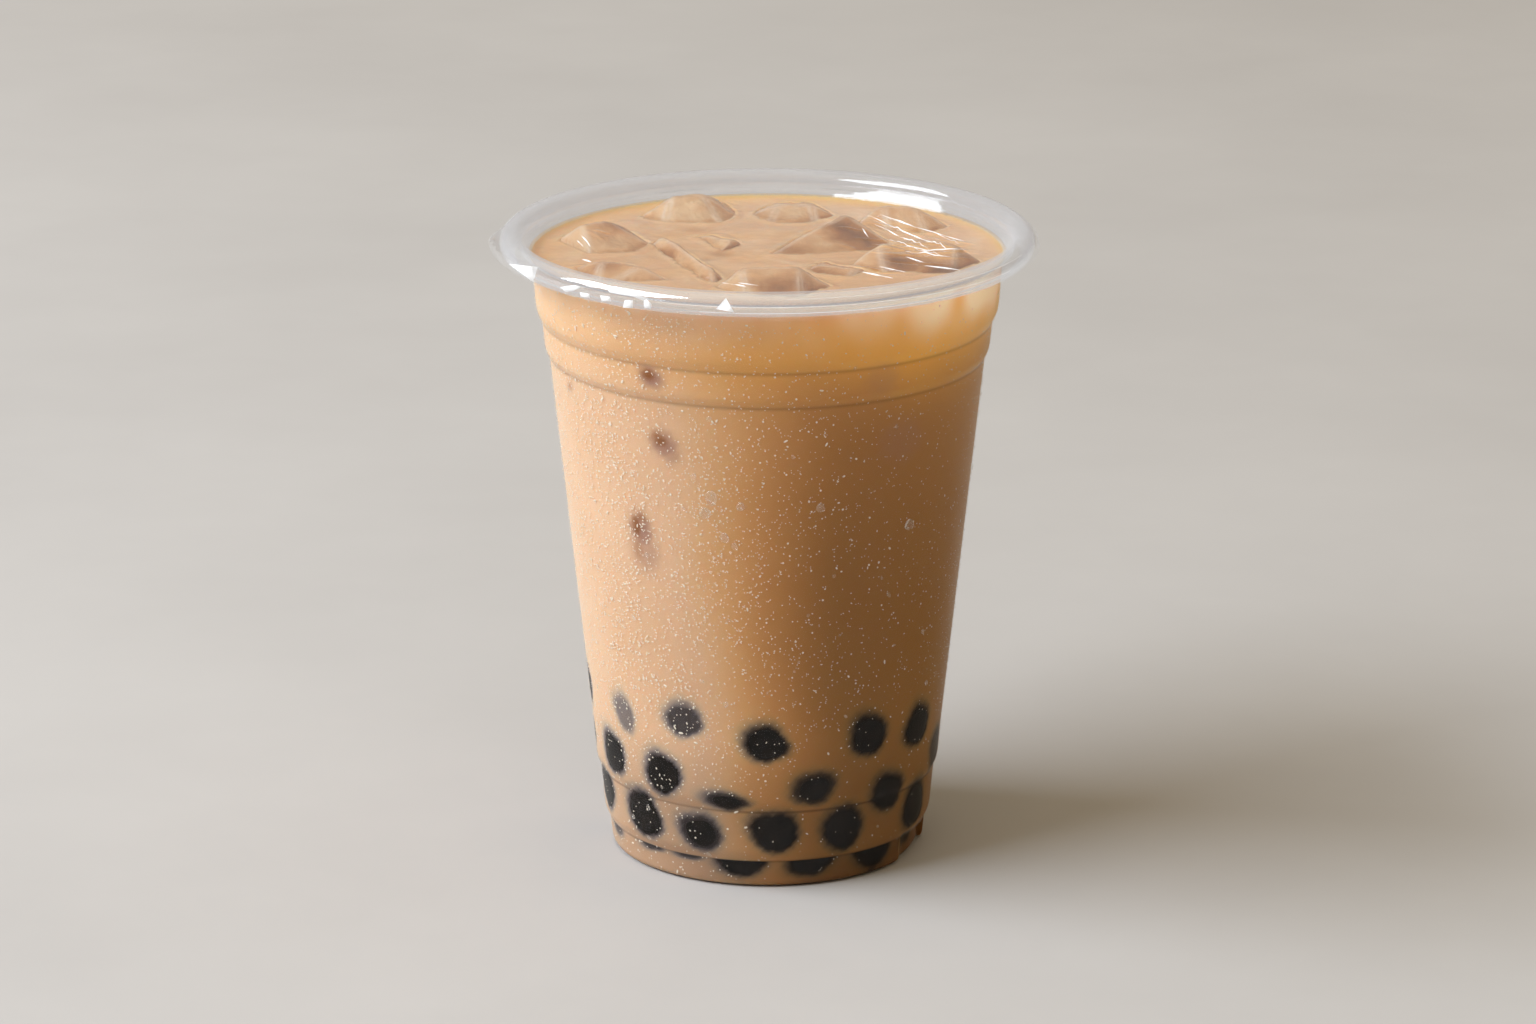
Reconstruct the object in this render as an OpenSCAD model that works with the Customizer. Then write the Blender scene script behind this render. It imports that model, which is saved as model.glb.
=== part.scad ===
// Cold milk tea in a clear thermoformed cup with a heat-sealed film lid.
// Millimetres, +Z up. Origin on the cup's axis, on the plane it stands on.
// The notch in the foot and the view's front are given as degrees round the
// axis from the front (-Y), turning towards +X.

/* [Cup] */
// Outer diameter over the rolled rim
rim_d = 95; // [94.5:0.25:95.5]
// Height of the cup over the rim's sealing land
cup_h = 114; // [112:0.5:116]
// Diameter of the rolled bead's section
bead_d = 4.34; // [4:0.1:4.6]
// Wall thickness
wall = 0.55; // [0.45:0.05:0.7]
// Radius the straight taper would have at the standing plane
taper_r0 = 29.25; // [29:0.05:29.5]
// Growth of the radius for each millimetre of height
taper = 0.1064; // [0.100:0.001:0.110]

/* [Stacking steps] */
// Height where the foot band ends
foot_step_z = 5.2; // [4.8:0.1:5.4]
// Radial size of the foot step
foot_step = 0.56; // [0.4:0.02:0.7]
// Height of the lower body step
low_step_z = 15.0; // [14.5:0.1:15.5]
// Radial size of the lower body step
low_step = 0.36; // [0.25:0.01:0.5]
// Height of the upper body step
high_step_z = 91.7; // [91:0.1:92.5]
// Radial size of the upper body step
high_step = 0.58; // [0.4:0.02:0.7]
// Height of the neck step
neck_step_z = 98.2; // [97.5:0.1:99]
// Radial size of the neck step
neck_step = 0.56; // [0.4:0.02:0.8]

/* [Foot] */
// Height of the base panel above the standing plane
base_rise = 1.6; // [1:0.1:2]
// Inner radius of the standing ring
ring_in_r = 25.6; // [25:0.1:26]
// Depth of the unstacking notch in the foot
notch_depth = 1.1; // [0.8:0.1:1.4]
// Where the notch starts, degrees from the front towards +X
notch_from = 58; // [50:1:65]
// How far round the notch runs, in degrees
notch_span = 27; // [20:1:35]

/* [Contents] */
// Height of the drink's surface
drink_z = 109.5; // [108.5:0.1:109.7]
// How far the drink climbs the wall
meniscus = 0.7; // [0.3:0.1:1]

/* [Film lid] */
// Thickness of the sealing film
film_t = 0.12; // [0.1:0.01:0.2]
// Height of the trimmed edge of the skirt
skirt_z = 110.4; // [109.9:0.1:111]
// How far the film's two corners stick out from the axis
corner_r = 49.0; // [48.6:0.1:49.6]
// How far round a corner reaches, in degrees
corner_span = 26; // [16:1:34]

/* [Hidden] */
$fn = 128;

bead_r = bead_d / 2;
bead_x = rim_d / 2 - bead_r;          // centre of the bead's section
land_drop = 0.12;                     // the sealing land cuts the bead's crown
bead_z = cup_h - bead_r + land_drop;
land_half = sqrt(bead_r * bead_r - (bead_r - land_drop) * (bead_r - land_drop));
curl_t = 0.5;                         // thickness of the curl
film_gap = 0.03;                      // the skirt stands just clear of the bead
neck_top = 108.0;                     // the neck starts to flare here
flare_end = bead_z + 0.1;             // and meets the bead here
ring_floor = 0.6;                     // the floor of the hollow in the standing ring

// Each step springs out sharply at its foot and rounds off over its height.
function spring(t) = t <= 0 ? 0 : t >= 1 ? 1 : sin(90 * t);
// The rounded shoulder above a step stands a little proud, then fades.
function proud(t) = t <= 0 ? 0 : pow(t, 2) * exp(2 - 2 * t);
function step_at(z, z0, size, high, bulge) =
    size * spring((z - z0) / high) + bulge * proud((z - z0) / high);

// Outer radius of the wall at height z.
function wall_r(z) = taper_r0 + taper * z
    - foot_step - low_step
    + step_at(z, foot_step_z, foot_step, 2.4, 0.10)
    + step_at(z, low_step_z, low_step, 2.2, 0.13)
    + step_at(z, high_step_z, high_step, 2.0, 0.04)
    + step_at(z, neck_step_z, neck_step, 2.8, 0.22)
    - 0.55 * (z > 104 ? (z - 104) / 4 * taper : 0);
// The foot's outer edge is rounded under.
function foot_round(z) = z < 0.9 ? 0.55 * (1 - sqrt(1 - pow(1 - z / 0.9, 2))) : 0;
function out_r(z) = wall_r(z) - foot_round(z);
// Above the neck the wall flares in a quarter wave to the bead.
flare_r = bead_x - bead_r + curl_t * 0.5;
function flare(z) = z <= neck_top ? out_r(z)
    : out_r(neck_top) + (flare_r + curl_t - out_r(neck_top))
      * (1 - cos(90 * (z - neck_top) / (flare_end - neck_top)));

// Heights at which the profile is sampled: close round each step, far between.
function near(z0, high) = [for (k = [-1:12]) z0 + k * high / 10];
heights = concat(
    [for (k = [0:4]) 0.9 * k / 4], [2.6],
    near(foot_step_z, 2.4), [9.5, 12],
    near(low_step_z, 2.2), [20, 24, 30, 60, 90],
    near(high_step_z, 2.0), near(neck_step_z, 2.8), [103.5, 106]);
flare_heights = [for (k = [0:8]) neck_top + (flare_end - neck_top) * k / 8];

function outer_line() = [for (z = concat(heights, flare_heights)) [flare(z), z]];
function inner_line(top) = [for (z = concat([ring_floor + 0.7],
    [for (h = concat(heights, flare_heights)) if (h > ring_floor + 0.9 && h < top) h], [top]))
    [flare(z) - wall, z]];
function reversed(a) = [for (k = [len(a) - 1:-1:0]) a[k]];

// The outside of the cup, filled, up to the top of the flare.
module outside() {
    rotate_extrude() polygon(concat(
        [[0, base_rise], [ring_in_r - 1.2, base_rise], [ring_in_r - 0.5, base_rise - 0.35],
         [ring_in_r, 0]], outer_line(), [[0, flare_end]]));
}

// The hollow inside the cup, filled, up to the height top. It runs down into
// the standing ring, round the raised base panel.
module inside(top) {
    rotate_extrude() polygon(concat(
        [[0, base_rise + wall], [ring_in_r - 1.0, base_rise + wall],
         [ring_in_r - 0.15, base_rise + wall - 0.35], [ring_in_r + 0.45, ring_floor],
         [out_r(0.9) - wall - 0.55, ring_floor], [out_r(0.9) - wall - 0.18, ring_floor + 0.22]],
        inner_line(top), [[0, top]]));
}

// A block that takes the notch out of the foot, down to the radius r.
module notch(r, high) {
    difference() {
        rotate([0, 0, -90 + notch_from]) rotate_extrude(angle = notch_span)
            translate([r, -1]) square([8, high + 1]);
    }
}

// The rolled bead: a curl open below, with a flat land for the film.
module bead() {
    rotate_extrude() difference() {
        translate([bead_x, bead_z]) circle(r = bead_r, $fn = 48);
        translate([bead_x, bead_z]) circle(r = bead_r - curl_t, $fn = 48);
        translate([bead_x - 5, cup_h]) square([10, 2]);
        // the gap between the curl's end and the neck
        translate([bead_x, bead_z]) polygon([[0, 0],
            [-4 * cos(28), -4 * sin(28)], [-4, -6], [4 * cos(255), 4 * sin(255)]]);
    }
}

module cup() {
    color([0.90, 0.93, 0.95, 0.45]) union() {
        difference() {
            outside();
            notch(wall_r(2) - notch_depth, foot_step_z);
            difference() {
                inside(flare_end + 1);
                notch(wall_r(2) - notch_depth - wall, foot_step_z + wall);
            }
        }
        bead();
    }
}

module milk_tea() {
    color([0.80, 0.60, 0.43]) difference() {
        inside(drink_z + meniscus);
        notch(wall_r(2) - notch_depth - wall, foot_step_z + wall);
        // the surface: flat, turning up in a thin meniscus at the wall
        rotate_extrude() polygon(concat(
            [[0, drink_z]],
            [for (k = [0:6]) [flare(drink_z) - wall - 2.4 + 2.4 * k / 6,
                              drink_z + meniscus * (1 - cos(90 * k / 6))]],
            [[60, drink_z + meniscus], [60, drink_z + 9], [0, drink_z + 9]]));
    }
}

// One corner of the film that sticks out over the bead.
module corner(turn) {
    rotate([0, 0, turn]) translate([0, 0, bead_z - 0.3]) linear_extrude(film_t)
        polygon(concat([[corner_r, 0]],
            [for (k = [0:10]) (rim_d / 2 + film_gap + film_t * 0.5)
                * [cos(corner_span * (0.5 - k / 10)), sin(corner_span * (0.5 - k / 10))]]));
}

module seal_film() {
    color([0.95, 0.97, 1.0, 0.3]) union() {
        rotate_extrude() union() {
            // the flat sheet, welded to the land
            translate([0, cup_h]) square([bead_x + land_half, film_t]);
            // the skirt, drawn down round the bead
            difference() {
                translate([bead_x, bead_z]) circle(r = bead_r + film_gap + film_t, $fn = 48);
                translate([bead_x, bead_z]) circle(r = bead_r + film_gap, $fn = 48);
                translate([bead_x - 6, skirt_z - 8]) square([6 + land_half - 0.02, 20]);
                translate([bead_x - 6, skirt_z - 8]) square([12, 8]);
                translate([bead_x - 6, cup_h + film_t]) square([12, 4]);
            }
        }
        corner(0);
        corner(180);
    }
}

cup();
milk_tea();
seal_film();
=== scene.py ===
import math

import bpy
import bmesh
import numpy as np
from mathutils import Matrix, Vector, noise
from mathutils.bvhtree import BVHTree
from mathutils.geometry import delaunay_2d_cdt


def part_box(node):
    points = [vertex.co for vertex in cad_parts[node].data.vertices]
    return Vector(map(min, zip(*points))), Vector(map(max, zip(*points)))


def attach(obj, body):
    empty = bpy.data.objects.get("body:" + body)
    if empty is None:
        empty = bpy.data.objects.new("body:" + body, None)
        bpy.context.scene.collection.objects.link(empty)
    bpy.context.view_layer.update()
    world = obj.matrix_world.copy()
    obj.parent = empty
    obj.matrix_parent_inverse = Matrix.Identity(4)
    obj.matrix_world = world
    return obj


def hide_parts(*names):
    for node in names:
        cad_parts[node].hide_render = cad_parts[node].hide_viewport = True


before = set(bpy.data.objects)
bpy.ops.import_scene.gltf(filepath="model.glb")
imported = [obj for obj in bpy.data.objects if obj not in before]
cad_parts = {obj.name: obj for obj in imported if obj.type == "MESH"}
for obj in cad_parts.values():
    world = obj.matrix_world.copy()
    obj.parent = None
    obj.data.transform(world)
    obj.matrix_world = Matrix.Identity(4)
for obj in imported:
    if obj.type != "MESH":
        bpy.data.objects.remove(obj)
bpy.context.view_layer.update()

MM = 0.001
RNG = np.random.default_rng(20)

# ---------------------------------------------------------------- sizes, mm
lo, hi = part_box("milk_tea")
LEVEL = hi[2] / MM - 0.7            # the drink's flat surface
CUP_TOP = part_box("cup")[1][2] / MM  # the land the film is welded to
WALL = 0.55
BASE = 1.6
BEAD_R = 2.17
BEAD_X = 47.5 - BEAD_R
BEAD_Z = CUP_TOP - BEAD_R + 0.12
REACH = 0.38                        # how far the drink reaches into the wall
RING_IN = 25.6                      # inner radius of the standing ring
RING_FLOOR = 0.6                    # floor of the hollow in the standing ring


def spring(t):
    return np.sin(np.clip(t, 0, 1) * math.pi / 2)


def proud(t):
    t = np.clip(t, 0, None)
    return t * t * np.exp(2 - 2 * t)


STEPS = ((5.2, 0.56, 2.4, 0.10), (15.0, 0.36, 2.2, 0.13), (91.7, 0.58, 2.0, 0.04), (98.2, 0.56, 2.8, 0.22))


def wall_r(z):
    """Outer radius of the cup's wall at height z, as the CAD has it."""
    z = np.asarray(z, float)
    r = 29.25 + 0.1064 * z - 0.56 - 0.36
    for z0, size, high, bulge in STEPS:
        r = r + size * spring((z - z0) / high) + bulge * proud((z - z0) / high)
    r = r - 0.55 * np.where(z > 104, (z - 104) / 4 * 0.1064, 0)
    neck, end = 108.0, BEAD_Z + 0.1
    flare_to = BEAD_X - BEAD_R + 0.75
    neck_r = 29.25 + 0.1064 * neck - 0.56 - 0.36 + sum(s[1] for s in STEPS) + sum(
        s[3] * proud((neck - s[0]) / s[2]) for s in STEPS) - 0.55 * 0.1064
    t = np.clip((z - neck) / (end - neck), 0, 1)
    return np.where(z > neck, neck_r + (flare_to - neck_r) * (1 - np.cos(t * math.pi / 2)), r)


NOTCH_R = float(wall_r(2.0)) - 1.1


def at(az, r, z):
    """A point from degrees round the axis (0 is the front, -Y, and + turns to +X)."""
    a = np.radians(az)
    return np.stack([r * np.sin(a), -r * np.cos(a), z + 0 * r], -1)


# ---------------------------------------------------------------- helpers
def mesh_object(name, verts, faces, materials, smooth=True, attrs=None, face_mat=None):
    me = bpy.data.meshes.new(name)
    me.from_pydata((np.asarray(verts) * MM).tolist(), [], [tuple(int(i) for i in f) for f in faces])
    me.validate(verbose=False)
    for m in materials:
        me.materials.append(m)
    if smooth:
        me.polygons.foreach_set("use_smooth", [True] * len(me.polygons))
    if face_mat is not None:
        me.polygons.foreach_set("material_index", face_mat)
    for key, values in (attrs or {}).items():
        a = me.attributes.new(key, "FLOAT", "POINT")
        a.data.foreach_set("value", np.asarray(values, np.float32))
    me.update()
    ob = bpy.data.objects.new(name, me)
    bpy.context.scene.collection.objects.link(ob)
    return ob


class Nodes:
    """A short way to write node trees."""

    def __init__(self, name):
        self.m = bpy.data.materials.new(name)
        self.m.use_nodes = True
        self.t = self.m.node_tree
        self.t.nodes.clear()
        self.out = self.t.nodes.new("ShaderNodeOutputMaterial")

    def add(self, kind, **values):
        n = self.t.nodes.new(kind)
        for key, v in values.items():
            if hasattr(n, key) and not key[0].isupper():
                setattr(n, key, v)
            else:
                n.inputs[key.replace("_", " ")].default_value = v
        return n

    def link(self, a, b):
        self.t.links.new(a, b)

    def math(self, op, a, b=None, c=None, clamp=False):
        n = self.t.nodes.new("ShaderNodeMath")
        n.operation = op
        n.use_clamp = clamp
        for i, v in enumerate((a, b, c)):
            if v is None:
                continue
            if isinstance(v, (int, float)):
                n.inputs[i].default_value = v
            else:
                self.link(v, n.inputs[i])
        return n.outputs[0]

    def mix(self, fac, a, b, blend="MIX"):
        n = self.t.nodes.new("ShaderNodeMix")
        n.data_type = "RGBA"
        n.blend_type = blend
        for i, v in ((0, fac), (6, a), (7, b)):
            if isinstance(v, (int, float)):
                n.inputs[i].default_value = v
            elif isinstance(v, tuple):
                n.inputs[i].default_value = (*v, 1)
            else:
                self.link(v, n.inputs[i])
        return n.outputs[2]

    def ramp(self, fac, stops, interpolation="LINEAR"):
        n = self.t.nodes.new("ShaderNodeValToRGB")
        n.color_ramp.interpolation = interpolation
        el = n.color_ramp.elements
        while len(el) < len(stops):
            el.new(0.5)
        for e, (p, c) in zip(el, stops):
            e.position = p
            e.color = (*c, 1) if len(c) == 3 else c
        self.link(fac, n.inputs[0])
        return n.outputs[0]

    def attr(self, name):
        n = self.t.nodes.new("ShaderNodeAttribute")
        n.attribute_name = name
        return n.outputs["Fac"]

    def noise(self, scale, detail=2.0, rough=0.5, distortion=0.0, vector=None, stretch=None):
        if vector is None:
            vector = self.add("ShaderNodeTexCoord").outputs["Object"]
        if stretch is not None:
            mp = self.t.nodes.new("ShaderNodeMapping")
            mp.inputs["Scale"].default_value = stretch
            self.link(vector, mp.inputs["Vector"])
            vector = mp.outputs[0]
        n = self.t.nodes.new("ShaderNodeTexNoise")
        n.inputs["Scale"].default_value = scale
        n.inputs["Detail"].default_value = detail
        n.inputs["Roughness"].default_value = rough
        n.inputs["Distortion"].default_value = distortion
        self.link(vector, n.inputs["Vector"])
        return n.outputs["Fac"]


# ---------------------------------------------------------------- materials
def milk_material(name, surface):
    k = Nodes(name)
    gap, ice_view_shade, amber_and_painted_light, pocket_shade, line, painted_top_light, away_side_shade = (k.attr(a) for a in ("gap", "ice_view_shade", "amber_and_painted_light", "pocket_shade", "line", "painted_top_light", "away_side_shade"))
    # the tea itself: two tans drifting into each other
    drift = k.noise(28.0, 3.0, 0.55, 0.6)
    body = k.ramp(drift, [(0.30, (0.725, 0.458, 0.276)), (0.70, (0.774, 0.508, 0.322))])
    # painted shade: the tea's colour is made deeper and browner on the side turned away from the key light
    shaded_side_tint = k.add("ShaderNodeCombineColor")
    for i, (ratio, slow) in enumerate(((0.42, 1.5), (0.315, 1.0), (0.135, 0.75))):
        k.link(k.math("POWER", ratio, k.math("POWER", away_side_shade, slow)), shaded_side_tint.inputs[i])
    body = k.mix(1.0, body, shaded_side_tint.outputs[0], "MULTIPLY")
    if surface:
        # the surface: milky and darker tea in slow swirls
        swirl = k.noise(42.0, 4.0, 0.6, 2.2, stretch=(1.0, 1.0, 0.2))
        tea = k.ramp(swirl, [(0.28, (0.72, 0.405, 0.190)), (0.50, (0.80, 0.495, 0.270)), (0.72, (0.88, 0.600, 0.370))])
        tea = k.mix(amber_and_painted_light, tea, (0.90, 0.50, 0.15))
        # painted shade: the surface is darker brown where it dips round the ice and in its hollows
        tea = k.mix(pocket_shade, tea, (0.52, 0.245, 0.085))
    else:
        # painted light: near the top, on the side turned from the key light, the tea is tinted amber and lighter, for
        # light that comes in at the top and out through the wall
        tea = k.mix(amber_and_painted_light, body, (0.86, 0.425, 0.085))
        tea = k.mix(painted_top_light, tea, (0.97, 0.72, 0.45))
        # painted shade: the tea is darkened by a near-grey factor along the stacking steps, low down, in the foot and
        # on the bottom
        tea = k.mix(1.0, tea, k.mix(line, (1.0, 1.0, 1.0), (0.37, 0.34, 0.33)), "MULTIPLY")
        # painted shade: where ice lies against the wall the tea is coloured brown and mauve, darker at the core, for
        # the shaded inside seen through the clear ice
        tea = k.mix(k.math("MULTIPLY", ice_view_shade, 0.97), tea, k.mix(k.attr("ice_view_core_shade"), (0.40, 0.225, 0.165), (0.25, 0.085, 0.025)))
    # a thin layer of milk over a black pearl: blue scatters first
    parts = []
    for dens in (0.88, 1.20, 2.05):
        e = k.math("POWER", 2.71828, k.math("MULTIPLY", gap, -dens))
        parts.append(k.math("SUBTRACT", 1.0, e))
    veil = k.add("ShaderNodeCombineColor")
    for i in range(3):
        k.link(parts[i], veil.inputs[i])
    col = k.mix(1.0, tea, veil.outputs[0], "MULTIPLY")
    col = k.mix(1.0, col, (0.012, 0.0078, 0.0062), "ADD")
    p = k.add("ShaderNodeBsdfPrincipled")
    k.link(col, p.inputs["Base Color"])
    if not surface:  # painted light: the tea under the rim glows, standing in for light that comes down through the clear ice
        k.link(tea, p.inputs["Emission Color"])
        k.link(k.attr("painted_glow"), p.inputs["Emission Strength"])
    p.inputs["Subsurface Weight"].default_value = 0.6
    p.inputs["Subsurface Radius"].default_value = (1.0, 0.62, 0.40)
    p.inputs["Subsurface Scale"].default_value = 0.0032
    if surface:
        p.inputs["Roughness"].default_value = 0.12
        p.inputs["IOR"].default_value = 1.34
        ripple = k.noise(260.0, 2.0, 0.5, 0.4)
        bump = k.add("ShaderNodeBump", Strength=0.12, Distance=0.0006)
        k.link(ripple, bump.inputs["Height"])
        k.link(bump.outputs[0], p.inputs["Normal"])
    else:  # it lies against the plastic, so it has no shine of its own
        p.inputs["Roughness"].default_value = 0.7
        p.inputs["IOR"].default_value = 1.03
    k.link(p.outputs[0], k.out.inputs[0])
    return k.m


def pearl_material():
    k = Nodes("tapioca_look")
    mottle = k.noise(420.0, 3.0, 0.6)
    col = k.ramp(mottle, [(0.35, (0.0050, 0.0042, 0.0036)), (0.70, (0.013, 0.0095, 0.0075))])
    p = k.add("ShaderNodeBsdfPrincipled", Roughness=0.5, IOR=1.10)
    k.link(col, p.inputs["Base Color"])
    bump = k.add("ShaderNodeBump", Strength=0.06, Distance=0.0003)
    k.link(k.noise(500.0, 2.0, 0.6), bump.inputs["Height"])
    k.link(bump.outputs[0], p.inputs["Normal"])
    k.link(p.outputs[0], k.out.inputs[0])
    return k.m


def clear_skin(name, haze_low, haze_high, rim_low, rim_high, haze_colour, rough, ior, grazing):
    """Thin clear plastic: see-through, glossy by Fresnel, a little milky where it
    is seen edge on, and milkier where it is rolled into the rim."""
    k = Nodes(name)
    clear = k.add("ShaderNodeBsdfTransparent", Color=(1, 1, 1, 1))
    haze = k.add("ShaderNodeBsdfDiffuse", Color=(*haze_colour, 1))
    edge = k.add("ShaderNodeLayerWeight", Blend=0.5).outputs["Facing"]
    height = k.add("ShaderNodeSeparateXYZ")
    k.link(k.add("ShaderNodeTexCoord").outputs["Object"], height.inputs[0])
    rim = k.math("MULTIPLY_ADD", height.outputs[2], 700.0, -700.0 * 0.1078, clamp=True)
    low = k.math("MULTIPLY_ADD", rim, rim_low - haze_low, haze_low)
    high = k.math("MULTIPLY_ADD", rim, rim_high - haze_high, haze_high)
    fac = k.math("MULTIPLY_ADD", k.math("POWER", edge, 3.0), k.math("SUBTRACT", high, low), low)
    # painted light: the rolled rim glows a little, standing in for light that thick plastic carries along to its edges
    painted_glow = k.add("ShaderNodeEmission", Strength=1.0, Color=(0.80, 0.83, 0.88, 1))
    haze_and_painted_glow = k.add("ShaderNodeMixShader")
    k.link(k.math("MULTIPLY", rim, 0.55), haze_and_painted_glow.inputs[0])
    k.link(haze.outputs[0], haze_and_painted_glow.inputs[1])
    k.link(painted_glow.outputs[0], haze_and_painted_glow.inputs[2])
    a = k.add("ShaderNodeMixShader")
    k.link(fac, a.inputs[0])
    k.link(clear.outputs[0], a.inputs[1])
    k.link(haze_and_painted_glow.outputs[0], a.inputs[2])
    gloss = k.add("ShaderNodeBsdfGlossy", Roughness=rough, Color=(1, 1, 1, 1))
    f0 = ((ior - 1) / (ior + 1)) ** 2
    # the same from both sides of a thin wall, and weaker where the drink wets it
    face_on = k.math("MULTIPLY_ADD", rim, f0 * 0.78, f0 * 0.22)
    fres = k.math("MULTIPLY_ADD", k.math("POWER", edge, 5.0), k.math("SUBTRACT", grazing, face_on), face_on)
    b = k.add("ShaderNodeMixShader")
    k.link(fres, b.inputs[0])
    k.link(a.outputs[0], b.inputs[1])
    k.link(gloss.outputs[0], b.inputs[2])
    k.link(b.outputs[0], k.out.inputs[0])
    return k.m


def ice_material():
    """Ice that the tea has run over: it shows the tea under it, with painted shade making it browner in its hollows and
    on faces turned from the light, and painted highlights on its ridges.
    """
    k = Nodes("ice_look")
    tint_and_shade, rim = k.attr("tint_and_shade"), k.attr("rim")
    grain = k.noise(210.0, 4.0, 0.65, 1.2, stretch=(1.0, 0.35, 1.0))
    mottle = k.noise(70.0, 3.0, 0.6, 0.8)
    t = k.math("ADD", tint_and_shade, k.math("MULTIPLY_ADD", mottle, 0.7, -0.35), clamp=True)
    t = k.math("ADD", t, k.math("MULTIPLY_ADD", grain, 0.36, -0.18), clamp=True)
    col = k.ramp(t, [(0.05, (0.93, 0.66, 0.39)), (0.30, (0.79, 0.455, 0.205)), (0.60, (0.46, 0.195, 0.052)), (0.95, (0.19, 0.065, 0.013))])
    # painted highlight: pale broken lines along the ice's ridges
    col = k.mix(k.math("MULTIPLY", rim, k.math("MULTIPLY_ADD", grain, 1.6, -0.35, clamp=True)), col, (0.97, 0.82, 0.66))
    p = k.add("ShaderNodeBsdfPrincipled", Roughness=0.07, IOR=1.40)
    k.link(col, p.inputs["Base Color"])
    p.inputs["Subsurface Weight"].default_value = 0.25
    p.inputs["Subsurface Radius"].default_value = (1.0, 0.8, 0.6)
    p.inputs["Subsurface Scale"].default_value = 0.002
    bump = k.add("ShaderNodeBump", Strength=0.5, Distance=0.0005)
    k.link(k.math("ADD", grain, k.noise(520.0, 2.0, 0.6, 0.5)), bump.inputs["Height"])
    k.link(bump.outputs[0], p.inputs["Normal"])
    clear = k.add("ShaderNodeBsdfTransparent", Color=(0.96, 0.88, 0.78, 1))
    mix = k.add("ShaderNodeMixShader")
    mix.inputs[0].default_value = 0.26
    k.link(p.outputs[0], mix.inputs[1])
    k.link(clear.outputs[0], mix.inputs[2])
    k.link(mix.outputs[0], k.out.inputs[0])
    return k.m


def drop_material(name, alpha, rough, colour):
    k = Nodes(name)
    p = k.add("ShaderNodeBsdfPrincipled", Roughness=rough, IOR=1.33, Alpha=alpha)
    p.inputs["Base Color"].default_value = (*colour, 1)
    k.link(p.outputs[0], k.out.inputs[0])
    return k.m


MILK = milk_material("milk_tea_look", False)
MILK_TOP = milk_material("milk_tea_surface_look", True)
PEARL = pearl_material()
CUP = clear_skin("cup_plastic_look", 0.002, 0.028, 0.145, 0.44, (0.97, 0.98, 1.0), 0.06, 1.75, 0.32)
FILM = clear_skin("film_look", 0.003, 0.03, 0.004, 0.13, (0.95, 0.97, 1.0), 0.03, 1.65, 0.30)
ICE = ice_material()


def painted_glint_material():
    """Painted highlights on the film's folds, pinches, patches and rim lines: whitened, with a little emission so they
    are bright from any side.
    """
    k = Nodes("film_painted_glint_look")
    p = k.add("ShaderNodeBsdfPrincipled", Roughness=0.35, IOR=1.45, Alpha=0.80)
    p.inputs["Base Color"].default_value = (0.97, 0.98, 1.0, 1)
    p.inputs["Emission Color"].default_value = (1.0, 0.99, 0.97, 1)
    p.inputs["Emission Strength"].default_value = 0.22
    k.link(p.outputs[0], k.out.inputs[0])
    return k.m


PAINTED_GLINT = painted_glint_material()
MIST = drop_material("mist_look", 0.70, 0.22, (1.0, 0.91, 0.76))
DROP = clear_skin("drop_look", 0.07, 0.34, 0.07, 0.34, (1.0, 0.92, 0.80), 0.06, 1.70, 0.70)

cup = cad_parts["cup"]
cup.data.materials.clear()
cup.data.materials.append(CUP)
cup.data.polygons.foreach_set("use_smooth", [True] * len(cup.data.polygons))

# ---------------------------------------------------------------- the pearls' places
# degrees round from the front, height, half width and half height of the flat
# the pearl presses on the wall, tilt in degrees, milk between it and the wall
FRONT_PEARLS = [
    (-27.0, 31.7, 3.1, 2.8, 0, 0.10), (-0.4, 28.3, 3.5, 3.2, -15, 0.0), (34.4, 28.1, 3.4, 3.6, 20, 0.0),
    (57.5, 26.8, 3.4, 3.6, 12, 0.0), (-52.1, 29.8, 2.1, 3.0, 28, 0.35), (-83.0, 30.5, 2.6, 3.0, 0, 0.0),
    (-61.5, 20.8, 3.5, 3.6, 20, 0.0), (-36.5, 20.3, 3.4, 3.6, 14, 0.0), (-13.4, 16.9, 3.2, 1.5, -4, 0.04),
    (15.6, 19.3, 3.4, 2.7, 12, 0.05), (44.6, 15.9, 3.5, 3.2, -30, 0.0), (76.6, 19.4, 3.3, 3.3, 0, 0.15),
    (-74.7, 12.0, 3.8, 3.6, 10, 0.0), (-47.4, 11.1, 3.8, 4.2, 22, 0.0), (-23.3, 10.1, 3.6, 3.1, 0, 0.05),
    (2.7, 11.0, 4.0, 3.5, 0, 0.0), (26.9, 10.6, 3.6, 3.7, -10, 0.0), (62.2, 10.7, 3.6, 4.0, -12, 0.0),
    (-9.2, 4.9, 3.9, 2.7, 0, 0.0), (15.7, 4.9, 3.9, 2.6, 0, 0.0), (41.1, 4.9, 3.9, 3.1, -14, 0.0),
    (-29.3, 5.0, 1.9, 0.6, 0, 0.10), (-45.9, 5.0, 2.0, 0.7, 0, 0.10), (-70.4, 4.9, 1.8, 1.2, 0, 0.2),
    (64.5, 4.6, 3.0, 1.9, 0, 0.2),
]
PEARLS = list(FRONT_PEARLS)
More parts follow.
